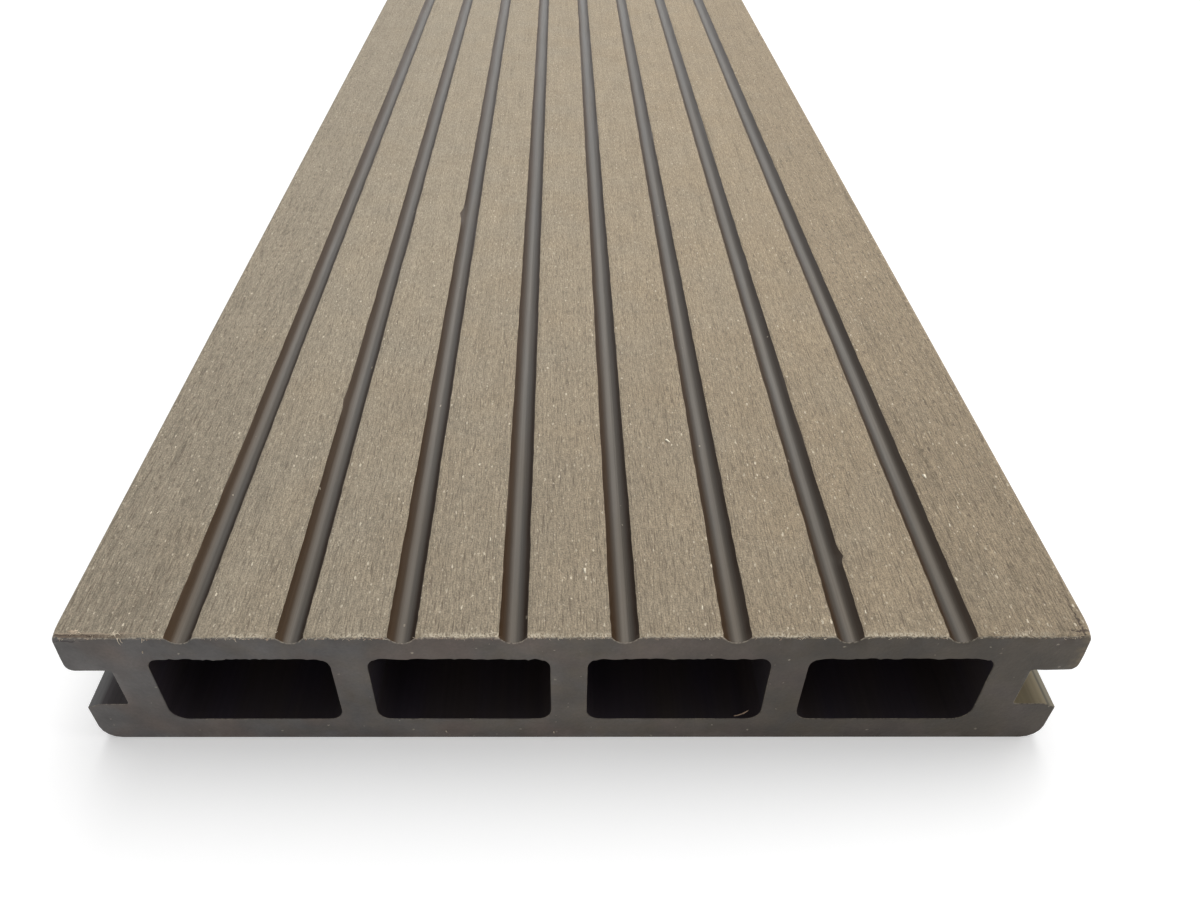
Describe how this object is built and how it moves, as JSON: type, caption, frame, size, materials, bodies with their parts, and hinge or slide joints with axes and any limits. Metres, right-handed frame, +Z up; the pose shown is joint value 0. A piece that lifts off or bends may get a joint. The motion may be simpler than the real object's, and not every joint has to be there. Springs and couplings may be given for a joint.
{
  "type": "decking board",
  "caption": "Hollow wood-plastic composite decking board with a grooved, brushed walking face and a slot for hidden clips along each long edge.",
  "frame": {"origin": "middle of the underside, half way along the board", "axes": "+Z up through the walking face, Y along the board, X across it"},
  "size_m": [0.15, 2.2, 0.025],
  "materials": {
    "composite": "brushed grey-brown wood-plastic composite, smooth and darker on the extruded and cut faces"
  },
  "bodies": {
    "root": {"decking_board": "composite"}
  },
  "joints": []
}
